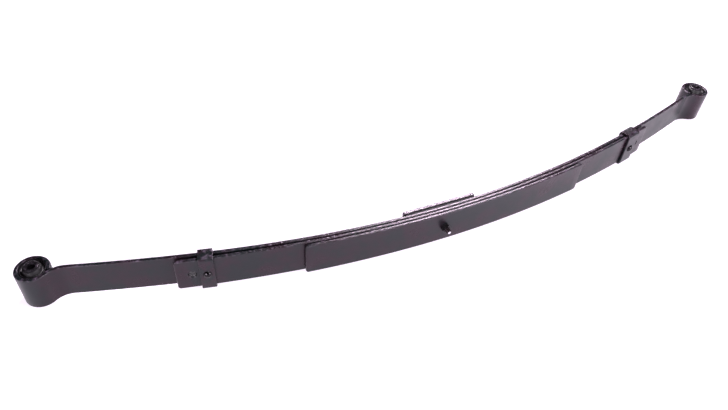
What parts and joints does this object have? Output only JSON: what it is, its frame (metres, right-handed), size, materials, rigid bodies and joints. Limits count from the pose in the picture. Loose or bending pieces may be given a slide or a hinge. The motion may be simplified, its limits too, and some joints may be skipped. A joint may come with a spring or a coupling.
{
  "type": "leaf spring",
  "caption": "Semi-elliptic leaf spring with rolled, rubber-bushed eyes, shorter leaves held by riveted clips, a seat plate and a centre bolt.",
  "frame": {"origin": "on the centre bolt's axis, at the seat plate's outer face, halfway across the leaves", "axes": "+X from the front eye to the rear eye; +Y out of the seat face towards the hollow side, along the centre bolt's head; +Z across the leaves, up when the spring lies on its side"},
  "size_m": [1.4354, 0.1927, 0.0756],
  "materials": {
    "spring_steel": "satin",
    "seat_steel": "satin",
    "spacer": "matte",
    "bolt_steel": "machined, zinc plated",
    "nut_steel": "satin",
    "bush_steel": "satin",
    "bush_rubber": "matte",
    "clip_steel": "satin",
    "rivet_steel": "gloss",
    "liner_plastic": "matte"
  },
  "bodies": {
    "pack_centre": {"main_leaf": "spring_steel", "second_leaf": "spring_steel", "third_leaf": "spring_steel", "top_plate": "seat_steel", "plate_spacer": "spacer", "centre_bolt": "bolt_steel", "centre_nut": "nut_steel"},
    "front_arm": {"front_bush_shell": "bush_steel", "front_bush_rubber": "bush_rubber", "front_clip": "clip_steel", "front_clip_rivet": "rivet_steel", "front_tip_liner": "liner_plastic"},
    "rear_arm": {"rear_bush_shell": "bush_steel", "rear_bush_rubber": "bush_rubber", "rear_clip": "clip_steel", "rear_clip_rivet": "rivet_steel", "rear_tip_liner": "liner_plastic"},
    "front_sleeve": {"front_bush_sleeve": "bush_steel"},
    "rear_sleeve": {"rear_bush_sleeve": "bush_steel"}
  },
  "joints": [
    {"name": "front_flex", "type": "hinge", "parent": "pack_centre", "child": "front_arm", "pos_m": [-0.25549, 0.00401, 0], "axis": [0, 0, 1], "range_deg": [-3, 12], "stiffness_Nm_per_rad": 3000, "deforming": ["main_leaf", "second_leaf", "third_leaf"]},
    {"name": "rear_flex", "type": "hinge", "parent": "pack_centre", "child": "rear_arm", "pos_m": [0.25549, 0.00373, 0], "axis": [0, 0, -1], "range_deg": [-3, 12], "stiffness_Nm_per_rad": 3000, "deforming": ["main_leaf", "second_leaf", "third_leaf"]},
    {"name": "front_bush_twist", "type": "hinge", "parent": "front_arm", "child": "front_sleeve", "pos_m": [-0.6627, 0.09712, 0], "axis": [0, 0, 1], "range_deg": [-25, 25], "stiffness_Nm_per_rad": 60},
    {"name": "rear_bush_twist", "type": "hinge", "parent": "rear_arm", "child": "rear_sleeve", "pos_m": [0.7177, 0.11654, 0], "axis": [0, 0, 1], "range_deg": [-25, 25], "stiffness_Nm_per_rad": 60}
  ]
}
